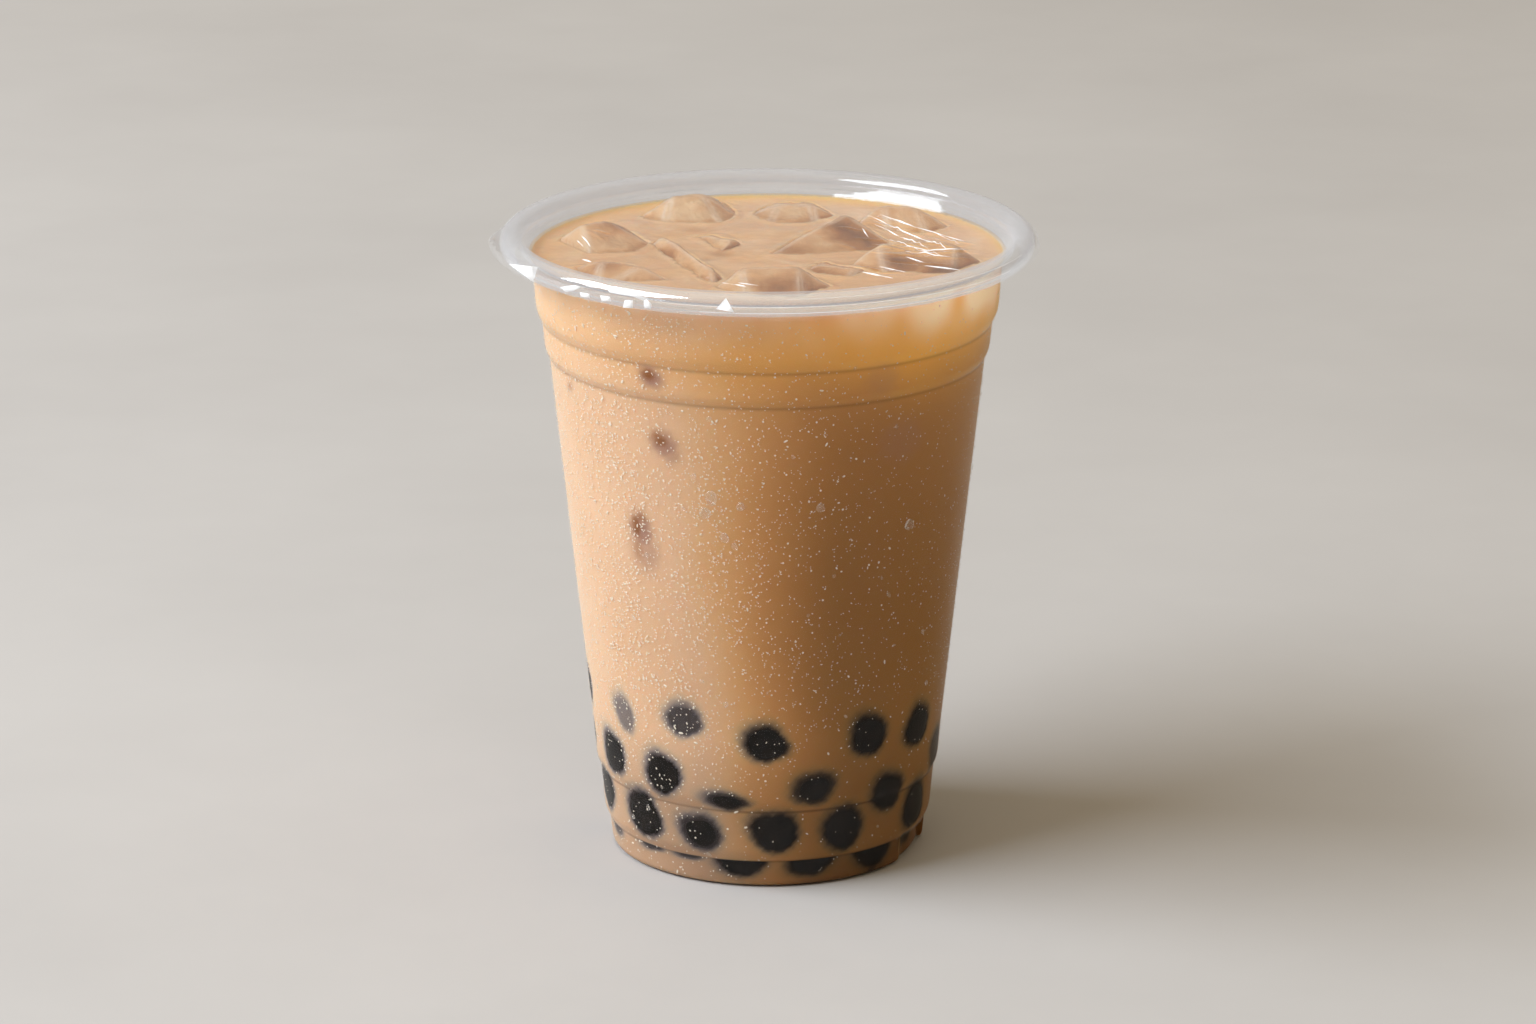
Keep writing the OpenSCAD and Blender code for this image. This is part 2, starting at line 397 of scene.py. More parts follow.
# the far side carries the same three loose rows
for _ in range(4000):
    if len(PEARLS) >= len(FRONT_PEARLS) + 27:
        break
    az = float(RNG.uniform(86, 272))
    z = float(RNG.choice([4.6, 11.0, 19.5, 28.5], p=[0.26, 0.30, 0.25, 0.19]) + RNG.normal(0, 1.3))
    z = max(z, 4.2)
    w = float(RNG.uniform(3.1, 4.0))
    h = float(RNG.uniform(3.0, 3.9)) if z > 6.5 else float(RNG.uniform(1.8, 2.6))
    r = float(wall_r(z))
    clear_of = True
    for p in PEARLS:
        da = (az - p[0] + 180) % 360 - 180
        if math.hypot(math.radians(da) * r / (w + p[2] + 1.7), (z - p[1]) / (h + p[3] + 1.3)) < 1:
            clear_of = False
            break
    if clear_of:
        PEARLS.append((az if az < 180 else az - 360, z, w, h, float(RNG.uniform(-25, 25)), float(RNG.choice([0, 0, 0, 0.1, 0.3]))))
LOBES = [(RNG.uniform(0, 2 * math.pi, 4), RNG.uniform(0.3, 1.0, 4) * np.array([0.050, 0.055, 0.040, 0.030])) for _ in PEARLS]


def lobe(i, phi):
    """How far the outline of pearl i leaves an ellipse, as a factor."""
    ph, amp = LOBES[i]
    return 1 + sum(amp[n] * np.cos((n + 2) * phi + ph[n]) for n in range(4))


def inner_r(az, z):
    """Radius of the drink at a place on the wall."""
    r = wall_r(z) - WALL + REACH
    az = np.asarray(az, float)
    in_notch = (az > 58 - 0.9) & (az < 85 + 0.9) & (np.asarray(z) < 5.2 + WALL)
    return np.where(in_notch, np.minimum(r, NOTCH_R - WALL + REACH), r)


def pearl_gap(az, z):
    """Milk thickness, mm, over the nearest pearl, seen from outside the wall."""
    az, z = np.broadcast_arrays(np.asarray(az, float), np.asarray(z, float))
    gap = np.full(az.shape, 9.0)
    r = wall_r(z) - WALL
    for i, (pa, pz, w, h, tilt, cover) in enumerate(PEARLS):
        da = (az - pa + 180) % 360 - 180
        x, y = np.radians(da) * r, z - pz
        near = (np.abs(x) < w + 4) & (np.abs(y) < h + 4)
        if pz < 5.4:  # those in the foot are hidden above its step
            near &= z < 5.25
        if not near.any():
            continue
        c, s = math.cos(math.radians(tilt)), math.sin(math.radians(tilt))
        u, v = (x * c + y * s) / w, (-x * s + y * c) / h
        rough = np.sin(x * 2.3 + i) * np.sin(y * 2.7 + 2 * i) * 0.05 + np.sin(x * 5.1 + 3 * i) * np.sin(y * 4.3 + i) * 0.035
        rho = np.hypot(u, v) / lobe(i, np.arctan2(v, u)) + rough
        d = np.clip((rho - 1) * 0.5 * (w + h) + 0.25, 0, None)
        d = d * (1.0 - 0.30 * np.cos(np.arctan2(y, x) - 2.2))  # the veil is widest up and to the left
        g = cover + 0.10 * d + 0.66 * d * d
        gap = np.where(near, np.minimum(gap, g), gap)
    return gap


# painted shade where ice lies against the wall, for the shaded inside seen through it: degrees, height, half sizes,
# tilt, strength
SPOTS = [(-30.3, 96.1, 1.9, 1.5, -20, 1.0), (-31.8, 97.6, 1.0, 0.8, 0, 0.5),
         (-28.2, 83.8, 2.2, 1.7, -30, 0.95), (-26.0, 82.0, 1.4, 1.3, 0, 0.6),
         (-37.6, 66.8, 1.9, 2.6, 12, 1.0), (-37.0, 63.2, 2.4, 3.0, 10, 0.6),
         (-63.9, 89.7, 1.1, 0.8, 30, 0.55), (37.9, 83.5, 3.6, 3.0, 0, 0.30), (30.0, 96.0, 2.5, 2.5, 0, 0.25),
         (112.0, 88.0, 2.4, 2.0, 20, 0.9), (150.0, 70.0, 2.2, 3.0, -15, 0.8), (201.0, 93.0, 2.0, 1.6, 0, 0.9),
         (238.0, 78.0, 2.6, 2.0, 30, 0.8)]


# the darker painted cores of those patches: degrees, height, half sizes, tilt, strength
CORES = [(-31.2, 96.6, 1.2, 0.8, -20, 1.0), (-29.7, 84.6, 1.4, 0.9, -30, 1.0), (-39.4, 67.6, 0.8, 1.5, 12, 1.0),
         (-36.6, 69.4, 1.6, 0.6, 10, 0.8), (-39.2, 62.8, 0.7, 1.5, 5, 0.8), (-63.9, 89.9, 0.8, 0.5, 30, 0.8),
         (111.0, 88.6, 1.2, 0.9, 20, 1.0), (149.0, 71.0, 1.0, 1.6, -15, 0.9), (200.0, 93.4, 1.2, 0.8, 0, 1.0), (237.0, 78.6, 1.4, 1.0, 30, 0.9)]


def wall_spot(az, z, spots):
    az, z = np.broadcast_arrays(np.asarray(az, float), np.asarray(z, float))
    out = np.zeros(az.shape)
    r = wall_r(z)
    for sa, sz, w, h, tilt, amount in spots:
        da = (az - sa + 180) % 360 - 180
        x, y = np.radians(da) * r, z - sz
        c, s = math.cos(math.radians(tilt)), math.sin(math.radians(tilt))
        u, v = (x * c + y * s) / (1.2 * w), (-x * s + y * c) / (1.2 * h)
        rho = np.hypot(u, v) + 0.10 * np.sin(x * 2.1 + sz) * np.sin(y * 2.6 + sa)
        out = np.maximum(out, amount / (1 + np.exp((rho - 1.05) * 5.5)))
    return out


# ---------------------------------------------------------------- ice
ICE_TOPS = {
    # name: (points that stand out of the drink, x y z; points under it), rounding
    "a": ([(-33.2, 8.5, 113.0), (-28.5, 10.5, 112.7)],
          [(-38, 10, 108.9), (-19, 6, 108.6), (-31, -4, 108.4), (-23, -2, 108.4), (-32, 19, 108.4), (-23, 17, 108.4)], 0.9),
    "b": ([(-17.5, 30.5, 113.3), (-12.0, 31.5, 113.0)],
          [(-25, 26.5, 108.6), (-3.5, 28, 108.6), (-19, 20, 108.2), (-7, 19, 108.4), (-17, 36.5, 109.0), (-7, 39.0, 109.0)], 1.4),
    "c": ([(2.0, 31.0, 111.1), (8.0, 30.5, 111.0)],
          [(-5, 29, 108.9), (14, 28, 108.9), (0, 20, 108.9), (9, 20, 108.9), (1, 39, 109.2), (9, 38.5, 109.2)], 1.5),
    "d": ([(13.9, 12.5, 113.55)],
          [(-3.5, -5.5, 108.5), (27.5, 0.0, 108.5), (17.0, 22.0, 108.2), (6, 16, 108.4)], 0.7),
    "e": ([(21.0, 25.0, 112.3), (27.0, 23.5, 112.2)],
          [(15.5, 22, 108.8), (34, 18.5, 108.8), (22, 13, 108.6), (29, 12, 108.6), (22, 34, 109), (29, 28.5, 109)], 1.0),
    "f": ([(19.5, -6.0, 112.6), (27.0, -2.5, 113.0), (33.5, -5.5, 112.4)],
          [(13.5, -9, 108.6), (39.0, -6, 108.8), (21, -17, 108.5), (32, -17, 108.5), (24, 6, 108.5)], 0.8),
    "g": ([(-18.6, 6.0, 111.4), (-9.6, -17.5, 111.2)],
          [(-21.8, 6.5, 108.6), (-20.0, 10.5, 108.6), (-15.4, 5.8, 108.6), (-12.6, -18.5, 108.5), (-9.2, -22.5, 108.5), (-6.4, -18.0, 108.5)], 0.9),
    "h": ([(-4.5, -21.5, 112.2), (5.5, -21.0, 112.5)],
          [(-11, -25, 108.6), (13, -24, 108.6), (-3, -12, 108.5), (5, -12, 108.5), (-3, -34, 108.5), (6, -34, 108.5)], 1.1),
    "i": ([(-29.0, -12.5, 111.7), (-22.0, -16.0, 111.5)],
          [(-36, -9, 108.7), (-15.5, -21, 108.6), (-24, -6, 108.5), (-30, -24, 108.5)], 1.0),
    "j": ([(9.0, -10.0, 110.2), (15.5, -14.0, 110.2)],
          [(4, -13, 108.9), (19, -12, 108.9), (10, -4, 108.9), (13, -21, 108.9)], 1.2),
    "k": ([(-6.0, 4.5, 110.5), (-10.5, 11.0, 110.3)],
          [(-4, 9, 108.9), (-9, 1, 108.9), (-14.5, 12, 108.9), (-8, 15, 108.9)], 1.0),
}


# where the ice shows browner (+) or paler (-), the browner patches partly the tea under it and partly painted shade in
# its hollows: x, y, reach in x and y, amount
TONES = [(-33.1, 12.1, 3.0, 2.5, 0.40), (-27.3, 9.9, 4.0, 2.0, 0.50), (13.5, 8.5, 2.5, 3.5, 0.75), (16.2, 5.5, 3.0, 2.5, 0.55),
         (20.1, 3.6, 3.5, 2.0, 0.45), (4.0, 0.3, 5.0, 2.5, 0.30), (11.0, 1.5, 3.0, 2.0, -0.22), (24.2, 13.7, 2.5, 2.5, -0.22),
         (23.3, -10.7, 3.5, 2.2, 0.60), (31.2, -12.8, 5.0, 2.5, 0.75), (36.6, -7.4, 4.0, 3.0, 0.30), (-18.7, -0.8, 3.0, 3.5, 0.42),
         (-11.0, -21.0, 3.0, 4.0, 0.10), (2.2, -27.6, 5.0, 3.0, 0.50), (8.3, -27.8, 3.0, 2.0, 0.18), (-4.9, -31.0, 3.0, 3.0, -0.30),
         (-27.6, -14.6, 4.0, 3.0, 0.32), (-14.0, 25.0, 6.0, 5.0, -0.16), (5.0, 28.0, 6.0, 5.0, -0.08)]
# small hollows in the surface, darkened as painted shade: x, y, reach in x and y, strength of the dip and of the
# painted shade
HOLLOWS = [(-8.0, 0.5, 2.0, 2.8, 0.85), (-13.0, 17.4, 3.0, 2.4, 0.60), (-10.5, -3.5, 1.2, 1.6, 0.55)]


def ice_block(seed, tops, unders, rounding):
    bm = bmesh.new()
    cx = np.mean([p[:2] for p in unders], axis=0)
    pts = [p for p in tops] + [p for p in unders]
    for p in unders:  # the block goes on below, a little narrower
        pts.append((cx[0] + (p[0] - cx[0]) * 0.72, cx[1] + (p[1] - cx[1]) * 0.72, LEVEL - 7.5))
    for p in pts:
        bm.verts.new(p)
    hull = bmesh.ops.convex_hull(bm, input=bm.verts)
    drop = [g for g in hull["geom_interior"] + hull["geom_unused"] if isinstance(g, bmesh.types.BMVert)]
    if drop:
        bmesh.ops.delete(bm, geom=list(set(drop)), context="VERTS")
    bmesh.ops.dissolve_limit(bm, angle_limit=math.radians(6), verts=bm.verts, edges=bm.edges)
    ridges = [(np.array(e.verts[0].co[:]), np.array(e.verts[1].co[:])) for e in bm.edges
              if len(e.link_faces) == 2 and e.calc_face_angle(0) > math.radians(14)]
    bmesh.ops.bevel(bm, geom=list(bm.edges), offset=rounding * (1.0 if rounding > 1.15 else 0.55), segments=2, profile=0.5, affect="EDGES", clamp_overlap=True)
    bmesh.ops.triangulate(bm, faces=bm.faces)
    for _ in range(3):
        long_edges = [e for e in bm.edges if e.calc_length() > 0.8]
        if not long_edges:
            break
        bmesh.ops.subdivide_edges(bm, edges=long_edges, cuts=1)
        bmesh.ops.triangulate(bm, faces=bm.faces)
    for _ in range(2):
        bmesh.ops.smooth_vert(bm, verts=bm.verts, factor=0.5, use_axis_x=True, use_axis_y=True, use_axis_z=True)
    bm.normal_update()
    moves = []
    for v in bm.verts:
        q = v.co * 0.22 + Vector((seed * 7.3, seed * 3.1, 0))
        q2 = v.co * 0.75 + Vector((seed * 1.7, 0, seed * 5.9))
        q3 = v.co * 1.6 + Vector((0, seed * 4.1, 0))
        moves.append(v.normal * (noise.noise(q) * 0.42 + noise.noise(q2) * 0.14 + noise.noise(q3) * 0.05))
    for v, m in zip(bm.verts, moves):
        v.co += m
        v.co.z = min(v.co.z, 113.65)
    bmesh.ops.recalc_face_normals(bm, faces=bm.faces)
    verts = np.array([v.co[:] for v in bm.verts])
    faces = [[v.index for v in f.verts] for f in bm.faces]
    near = np.full(len(verts), 9.0)
    for a, b in ridges:
        t = np.clip(((verts - a) @ (b - a)) / max((b - a) @ (b - a), 1e-6), 0, 1)
        near = np.minimum(near, np.linalg.norm(verts - a - t[:, None] * (b - a), axis=1))
    slope = np.array([v.normal[:] for v in bm.verts])
    bm.free()
    x, y, z = verts.T
    # painted shade: faces turned to the right, away from the key light, are made browner
    tint_and_shade = 0.24 + 0.16 * slope[:, 0] - 0.06 * slope[:, 1]
    for cx, cy, rx, ry, amount in TONES:
        tint_and_shade = tint_and_shade + amount * np.exp(-((x - cx) / rx) ** 2 - ((y - cy) / ry) ** 2)
    # painted highlight: a pale line along each ridge, above the surface
    rim = np.exp(-((near - 0.35 * rounding) / 0.42) ** 2) * (z > LEVEL - 1)
    wet = np.exp(-((z - LEVEL - 0.15) / 0.22) ** 2)
    return verts, faces, np.clip(tint_and_shade + 0.25 * wet, 0, 1), rim


ice_parts = []
for n, (key, (tops, unders, rounding)) in enumerate(ICE_TOPS.items()):
    ice_parts.append(ice_block(n + 1, tops, unders, rounding))


def join(parts):
    verts, faces, base = [], [], 0
    for v, f in (q[:2] for q in parts):
        verts.append(np.asarray(v))
        faces.extend([[i + base for i in g] for g in f])
        base += len(v)
    return np.concatenate(verts), faces


ice_v, ice_f = join(ice_parts)
ice = mesh_object("ice_cubes", ice_v, ice_f, [ICE], attrs={
    "tint_and_shade": np.concatenate([q[2] for q in ice_parts]), "rim": np.concatenate([q[3] for q in ice_parts])})
trees = [BVHTree.FromPolygons([Vector(p) for p in q[0]], q[1]) for q in ice_parts]


def ice_top(x, y):
    """Height of the highest ice over a place on the surface, or nothing."""
    best = -1e9
    for t in trees:
        hit = t.ray_cast(Vector((x, y, 130.0)), Vector((0, 0, -1)), 60.0)
        if hit[0] is not None:
            best = max(best, hit[0].z)
    return best


# ---------------------------------------------------------------- the drink
N_A = 400
az_ring = np.arange(N_A) * 360.0 / N_A - 180.0
marks = [RING_FLOOR + 0.7 + 32.7 * k / 65 for k in range(66)] + [34 + 57 * k / 43 for k in range(1, 44)]
for z0, _, high, _ in STEPS:  # closer round the stacking steps
    marks += [z0 + q for q in (-0.45, -0.2, -0.05, 0.1, 0.3, 0.55, 0.85, 1.2, 1.6, 2.1)]
marks += [62 + 0.62 * k for k in range(14)] + [81 + 0.6 * k for k in range(8)] + [95 + 0.6 * k for k in range(5)]
marks += [101.5 + (LEVEL + 0.7 - 101.5) * k / 13 for k in range(14)]
rise = []
for z in sorted(marks):
    if not rise or z - rise[-1] > 0.11:
        rise.append(z)
rise[-1] = LEVEL + 0.7
rise = np.array(rise)
rings = []
for z in rise:
    rings.append(at(az_ring, inner_r(az_ring, z), z))
wall_v = np.concatenate(rings)
n_rings = len(rise)
wall_az = np.tile(az_ring, n_rings)
wall_z = np.repeat(rise, N_A)
faces = []
for j in range(n_rings - 1):
    b0, b1 = j * N_A, (j + 1) * N_A
    for i in range(N_A):
        k = (i + 1) % N_A
        faces.append((b0 + i, b0 + k, b1 + k, b1 + i))
# the bottom, rounded in
bottom = []
low_r = inner_r(az_ring, rise[0])
for inset, z in ((0.12, 0.85), (0.38, 0.45), (0.80, 0.30)):
    bottom.append(at(az_ring, low_r - inset, z))
panel_z = BASE + WALL - 0.30
for r, z in ((RING_IN + 0.30, 0.30), (RING_IN - 0.30, BASE + 0.05), (RING_IN - 1.1, panel_z), (14.0, panel_z)):
    bottom.append(at(az_ring, np.full(N_A, r), z))
bottom_v = np.concatenate(bottom)
base = len(wall_v)
prev = list(range(N_A))
for j in range(len(bottom)):
    cur = [base + j * N_A + i for i in range(N_A)]
    for i in range(N_A):
        k = (i + 1) % N_A
        faces.append((cur[i], cur[k], prev[k], prev[i]))
    prev = cur
centre = base + len(bottom_v)
for i in range(N_A):
    faces.append((prev[(i + 1) % N_A], prev[i], centre))
verts = np.concatenate([wall_v, bottom_v, [[0, 0, panel_z]]])
# the surface: a triangulated disc, dipping where the ice lets one look in
edge_ids = [(n_rings - 1) * N_A + i for i in range(N_A)]
edge_pts = verts[edge_ids][:, :2]
R_TOP = float(np.hypot(*edge_pts[0]))
step = 0.62
pts = []
rows = int(2 * R_TOP / (step * 0.866)) + 2
for j in range(rows):
    y = -R_TOP + j * step * 0.866
    for i in range(int(2 * R_TOP / step) + 2):
        x = -R_TOP + i * step + (step / 2 if j % 2 else 0)
        if math.hypot(x, y) < R_TOP - 0.9:
            pts.append((x, y))
for d in (0.25, 0.6):
    for i in range(N_A):
        a = math.radians(az_ring[i] + (0.4 if d < 0.3 else 0.0))
        if i % 2 == 0:
            pts.append(((R_TOP - d) * math.sin(a), -(R_TOP - d) * math.cos(a)))
two_d = [Vector((float(x), float(y))) for x, y in edge_pts] + [Vector(p) for p in pts]
out = delaunay_2d_cdt(two_d, [(i, (i + 1) % N_A) for i in range(N_A)], [], 0, 1e-6)
tri, where = out[2], out[3]
lookup = {}
new_v = []
top_pocket_shade, top_amber = [], []
for n, p in enumerate(out[0]):
    src = where[n]
    if src and min(src) < N_A:
        lookup[n] = edge_ids[min(src)]
        continue
    x, y = p.x, p.y
    d = R_TOP - math.hypot(x, y)
    z = LEVEL + 0.7 * math.exp(-(d / 0.9) ** 1.2)
    fade = min(1.0, d / 3.0)
    z += fade * (0.16 * noise.noise(Vector((x * 0.16, y * 0.16, 3.0))) + 0.05 * noise.noise(Vector((x * 0.5, y * 0.5, 9.0))))
    it = ice_top(x, y)
    over = it - LEVEL
    # painted shade: the dip round the ice and the hollows are darkened
    pocket_shade = 0.0
    if over > 0:
        dip = 3.4 * (1 - math.exp(-over / 1.1))
        z -= dip
        pocket_shade = min(1.0, dip / 3.4)
    elif over > -1.2:
        z += 0.22 * fade * (1 + over / 1.2)
    for cx, cy, rx, ry, amount in HOLLOWS:
        q = amount * math.exp(-((x - cx) / rx) ** 2 - ((y - cy) / ry) ** 2)
        z -= 0.45 * q
        pocket_shade = max(pocket_shade, q)
    lookup[n] = len(verts) + len(new_v)
    new_v.append((x, y, z))
    top_pocket_shade.append(pocket_shade)
    far = 0.5 + 0.5 * math.tanh((0.5 * y - x + 4.0) / 14.0)
    top_amber.append((0.55 + 0.40 * far + 0.35 * noise.noise(Vector((x * 0.09, y * 0.09, 6.0)))) * math.exp(-(d / (2.8 + 2.2 * far)) ** 2)
                     + max(0.0, 0.42 * noise.noise(Vector((x * 0.05, y * 0.11, 2.0)))))
for f in tri:
    g = [lookup[i] for i in f]
    a, b, c = (out[0][i] for i in f)
    if (b - a).cross(c - a) < 0:
        g.reverse()
    faces.append(tuple(g))
n_side = len(verts)
verts = np.concatenate([verts, np.array(new_v)])
n_all = len(verts)
n_wall = len(wall_v)
gap = np.full(n_all, 9.0)
ice_view_shade, ice_view_core_shade, amber_and_painted_light, pocket_shade, line, painted_top_light = (np.zeros(n_all) for _ in range(6))
gap[:n_wall] = pearl_gap(wall_az, wall_z)
# painted shade where ice lies against the wall
ice_view_shade[:n_wall] = wall_spot(wall_az, wall_z, SPOTS)
ice_view_core_shade[:n_wall] = wall_spot(wall_az, wall_z, CORES)
rad = np.radians(wall_az)
streak = np.array([noise.noise(Vector((a * 2.6, b * 2.6, z * 0.05))) for a, b, z in zip(np.sin(rad), np.cos(rad), wall_z)])
below = np.clip((LEVEL - wall_z) / 13.0, 0, None)
# painted light: an amber band just under the surface, strongest to the right; on the surface itself the same attribute
# is an amber tint along the wall
amber_and_painted_light[:n_wall] = np.clip(np.exp(-((below + 0.30 * streak - 0.62) / 0.62) ** 2) * (0.22 + 0.78 * np.exp(-((wall_az - 35) / 48.0) ** 2)), 0, 1)
# painted light: a lighter cream band just under the surface on the side turned from the key light
fine = np.array([noise.noise(Vector((a * 7.5 + 5, b * 7.5, z * 0.10))) for a, b, z in zip(np.sin(rad), np.cos(rad), wall_z)])
side = 0.16 + 0.84 * np.exp(-((wall_az - 52) / 32.0) ** 2)
painted_top_light[:n_wall] = np.clip((0.84 + 1.2 * fine) * np.exp(-(np.clip(LEVEL - 2.5 - wall_z, 0, None) / 4.3) ** 2), 0, 1) * side
# painted shade: the tea is made deepest and browner on the side turned away from the key light, and least so up under
# the ice
turn_away = 0.5 - 0.5 * np.cos(np.radians(wall_az + 77))
grow = np.clip((turn_away + 0.05 * streak - 0.178 - 0.035 * np.clip((48 - wall_z) / 20, 0, 1)) / 0.43, 0, 1)
away_side_shade = np.zeros(n_all)
away_side_shade[:n_wall] = grow * grow * (3 - 2 * grow) * (1 - np.exp(-np.clip(LEVEL - wall_z, 0, None) / 23.0))
away_side_shade[n_wall:n_side] = np.tile(away_side_shade[:N_A], (n_side - n_wall) // N_A + 1)[:n_side - n_wall]
# painted shade: thin dark lines just under each stacking step, a darker band low down among the pearls, the foot under
# its step darker still, and the bottom darkened
for z0, *_ in STEPS:
    line[:n_wall] = np.maximum(line[:n_wall], (0.92 if z0 < 50 else 0.34) * np.exp(-((wall_z - z0 + 0.10) / (0.36 if z0 < 50 else 0.34)) ** 2))
low = np.clip((29.0 - wall_z) / 12.0, 0, 1)
line[:n_wall] = np.maximum(line[:n_wall], low * (0.29 + 0.26 * np.exp(-((wall_az + 34) / 30.0) ** 2)) + 0.08 * (wall_z < 15.0))
in_foot = np.clip((5.25 - wall_z) / 0.25, 0, 1)
line[:n_wall] = np.maximum(line[:n_wall], in_foot * (0.58 + 0.22 * np.exp(-((wall_az + 14) / 18.0) ** 2) + 0.20 * np.clip(np.sin(np.radians(wall_az)), 0, 1)))
line[n_wall:n_side] = 0.7
# painted light: emission in the tea just under the rim, strongest on the right and back
painted_glow = np.zeros(n_all)
painted_glow[:n_wall] = 0.34 * np.exp(-(np.clip(LEVEL - 1.0 - wall_z, 0, None) / 9.5) ** 2) * np.exp(-((wall_az - 58) / 46.0) ** 2)
pocket_shade[n_side:] = top_pocket_shade
amber_and_painted_light[n_side:] = top_amber
# the pearls' dark rounds run on under the foot's edge
gap[n_wall:n_wall + N_A * 3] = pearl_gap(np.tile(az_ring, 3), np.full(3 * N_A, rise[0]))
n_low = (n_rings - 1) * N_A + len(bottom) * N_A
face_mat = [0 if k < n_low else 1 for k in range(len(faces))]
drink = mesh_object("milk_tea_body", verts, faces, [MILK, MILK_TOP], face_mat=face_mat,
                    attrs={"gap": gap, "ice_view_shade": ice_view_shade, "ice_view_core_shade": ice_view_core_shade, "amber_and_painted_light": amber_and_painted_light, "pocket_shade": pocket_shade, "line": line, "painted_top_light": painted_top_light, "away_side_shade": away_side_shade, "painted_glow": painted_glow})

# ---------------------------------------------------------------- tapioca pearls
pearl_parts = []
U, V = 34, 20
for i, (pa, pz, w, h, tilt, cover) in enumerate(PEARLS):
    full = 1.30
    depth = 0.5 * (w + h) * full * 0.96
    flat = depth * math.sqrt(1 - 1 / full ** 2)
    pv, pf = [], []
    r_here = float(wall_r(pz)) - WALL
    c, s = math.cos(math.radians(tilt)), math.sin(math.radians(tilt))
    for j in range(V + 1):
        th = math.pi * j / V
        for q in range(U):
            ph = 2 * math.pi * q / U
            m = full * float(lobe(i, np.array(ph)))
            u, v = math.sin(th) * math.cos(ph) * m * w, math.sin(th) * math.sin(ph) * m * h
            out_r = depth * math.cos(th)
            # soft squash against the wall
            over = out_r - flat
            out_r = over if over < -0.6 else -0.6 + 0.6 * math.tanh((over + 0.6) / 0.6)
            x, y = u * c - v * s, u * s + v * c
            z = pz + y
            lump = 0.10 * noise.noise(Vector((u * 0.5 + i, v * 0.5, out_r * 0.5)))
            z_in = max(z, RING_FLOOR + 0.75)
            if pz < 5.4:
                z_in = min(z_in, 5.12)
            az = pa + math.degrees(x / r_here)
            wall_here = float(inner_r(az, z_in)) - REACH
            r = wall_here + REACH + 0.05 - cover * 0.55 + out_r + (lump if out_r < -0.8 else 0)
            pv.append(tuple(at(az, np.array(r), z_in)))
    for j in range(V):
        for q in range(U):
            a0, a1 = j * U + q, j * U + (q + 1) % U
            b0, b1 = a0 + U, a1 + U
            if j == 0:
                pf.append((a0, b0, b1))
            elif j == V - 1:
                pf.append((a0, b0, a1))
            else:
                pf.append((a0, b0, b1, a1))
    # one vertex for each pole
    pv_arr = np.array(pv)
    remap = list(range(len(pv)))
    for q in range(U):
        remap[q] = 0
        remap[V * U + q] = V * U
    pf = [tuple(dict.fromkeys(remap[k] for k in f)) for f in pf]
    used = sorted({k for f in pf for k in f})
    new_id = {k: n for n, k in enumerate(used)}
    pearl_parts.append((pv_arr[used], [[new_id[k] for k in f] for f in pf if len(f) > 2]))
pearl_v, pearl_f = join(pearl_parts)
pearls = mesh_object("tapioca_pearls", pearl_v, pearl_f, [PEARL])

# ---------------------------------------------------------------- sealing film
FILM_Z = CUP_TOP + 0.035
CREASES = [
    # x0, y0, x1, y1, height, width: where the film is drawn down on the ice
    (17.5, 11.0, 33.0, -9.0, 0.30, 0.55), (18.5, 8.0, 30.0, -10.5, -0.26, 0.5), (20.5, 5.5, 36.0, -12.0, 0.22, 0.5),
    (17.0, -13.5, 32.5, -9.0, 0.34, 0.5), (18.5, -17.0, 35.5, -12.0, -0.30, 0.5), (21.0, -19.5, 37.0, -15.5, 0.28, 0.5),
    (14.0, -27.5, 22.0, -31.5, 0.34, 0.55), (16.0, -30.5, 25.0, -33.5, -0.26, 0.5), (24.0, -12.0, 29.0, -20.0, 0.24, 0.5),
    (27.0, -20.0, 36.5, -22.0, 0.30, 0.5), (25.5, -24.5, 34.0, -27.0, 0.24, 0.5), (19.0, -22.0, 27.0, -26.0, -0.24, 0.5),
    (12.0, -10.0, 17.0, -18.0, 0.22, 0.5), (14.5, -7.0, 24.0, -9.0, 0.24, 0.5), (30.0, -14.0, 38.5, -18.0, 0.26, 0.5),
    (-32.0, -1.0, -29.0, -8.0, 0.18, 0.5), (-30.5, 0.5, -27.5, -6.0, -0.16, 0.5),
    # sharp ones, whose steep sides flash
    (20.5, -8.5, 28.5, -14.0, 0.40, 0.24), (24.0, -7.5, 34.0, -13.5, 0.42, 0.24), (28.0, -6.5, 36.5, -11.5, 0.36, 0.24),
    (18.0, -11.0, 26.0, -16.5, 0.40, 0.24), (17.5, -16.5, 27.5, -20.0, 0.44, 0.26), (21.5, -12.0, 27.0, -15.0, 0.34, 0.22),
    (17.5, 5.0, 27.0, -3.0, 0.34, 0.22), (12.0, 1.5, 18.0, -2.0, 0.30, 0.22), (-31.0, -1.0, -27.5, -4.0, 0.34, 0.24),
    (-7.0, -30.5, -2.5, -33.5, 0.34, 0.24), (31.0, -15.0, 38.0, -19.0, 0.36, 0.24),
]


